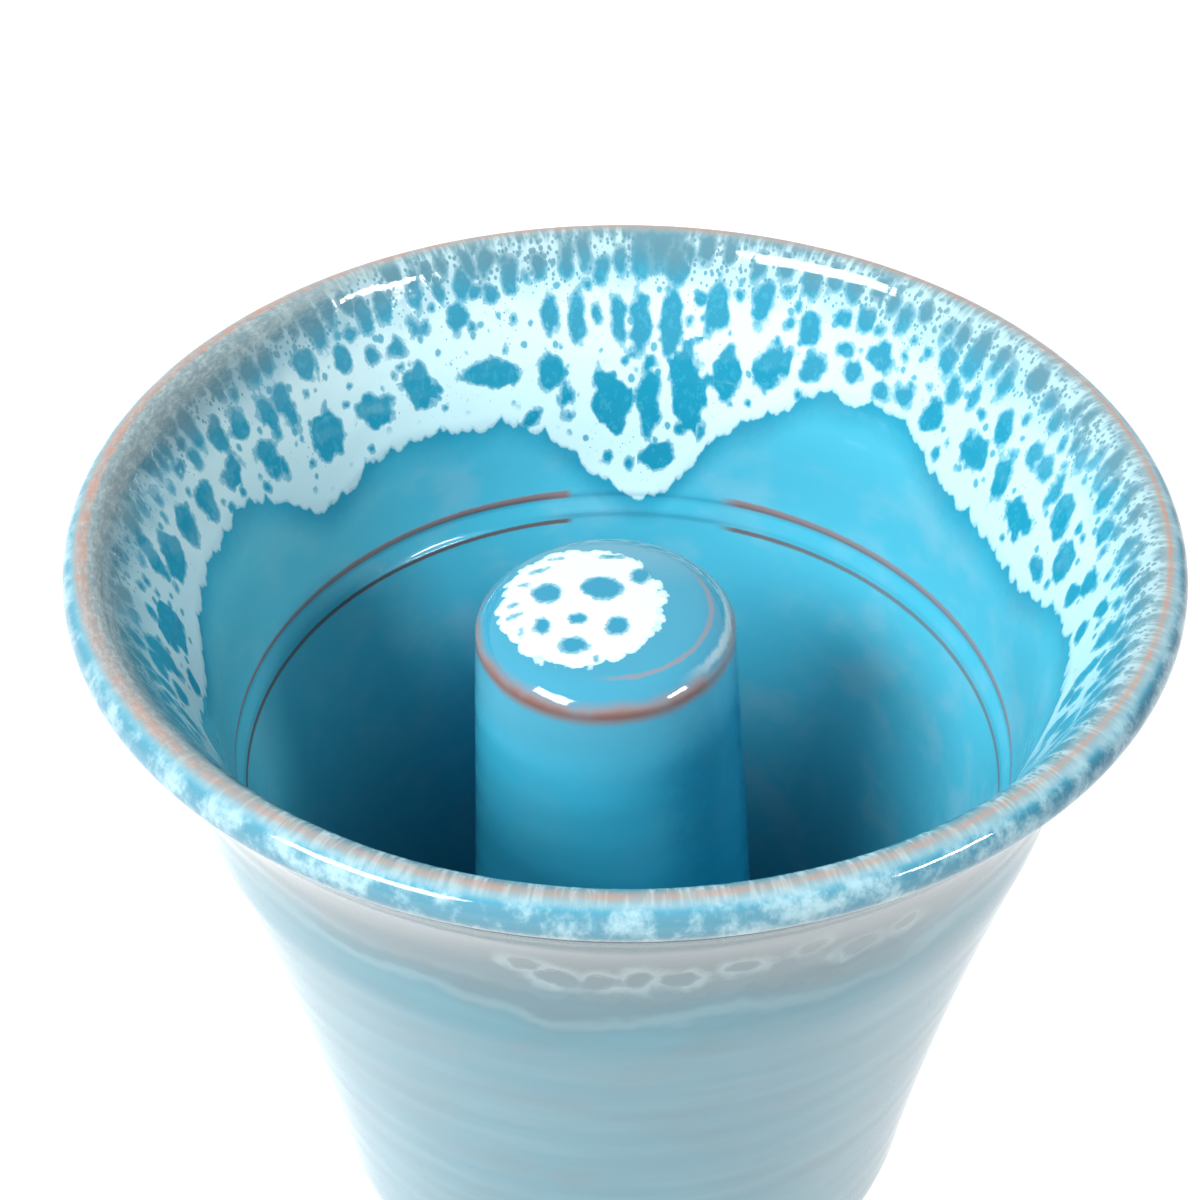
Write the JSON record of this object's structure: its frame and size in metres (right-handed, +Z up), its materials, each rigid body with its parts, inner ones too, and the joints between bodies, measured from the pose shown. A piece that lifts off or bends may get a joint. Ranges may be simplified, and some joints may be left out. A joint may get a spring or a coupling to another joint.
{
  "type": "pythagorean cup",
  "caption": "Flared glazed earthenware cup with a hollow column standing inside; filled past the line on its wall, it siphons itself empty through a drain in the foot.",
  "frame": {"origin": "centre of the foot, on the surface the cup stands on", "axes": "+Z up along the bowl's axis; +X to the right of the pictured view, on the side of the column's inlet; +Y away from the viewer"},
  "size_m": [0.09, 0.09, 0.09],
  "materials": {
    "turquoise_glaze": "running turquoise glaze over red clay, with white foam inside the lip and pale blue outside; the foot ring is bare",
    "column_glaze": "turquoise glaze that breaks to brown on the shoulder, with white foam on the crown",
    "fired_clay": "bare fired red clay"
  },
  "bodies": {
    "root": {"cup_body": "turquoise_glaze", "siphon_column": "column_glaze", "riser_tube": "fired_clay", "column_luting_coil": "column_glaze", "riser_luting_coil": "fired_clay", "drain_luting_coil": "fired_clay"}
  },
  "joints": []
}
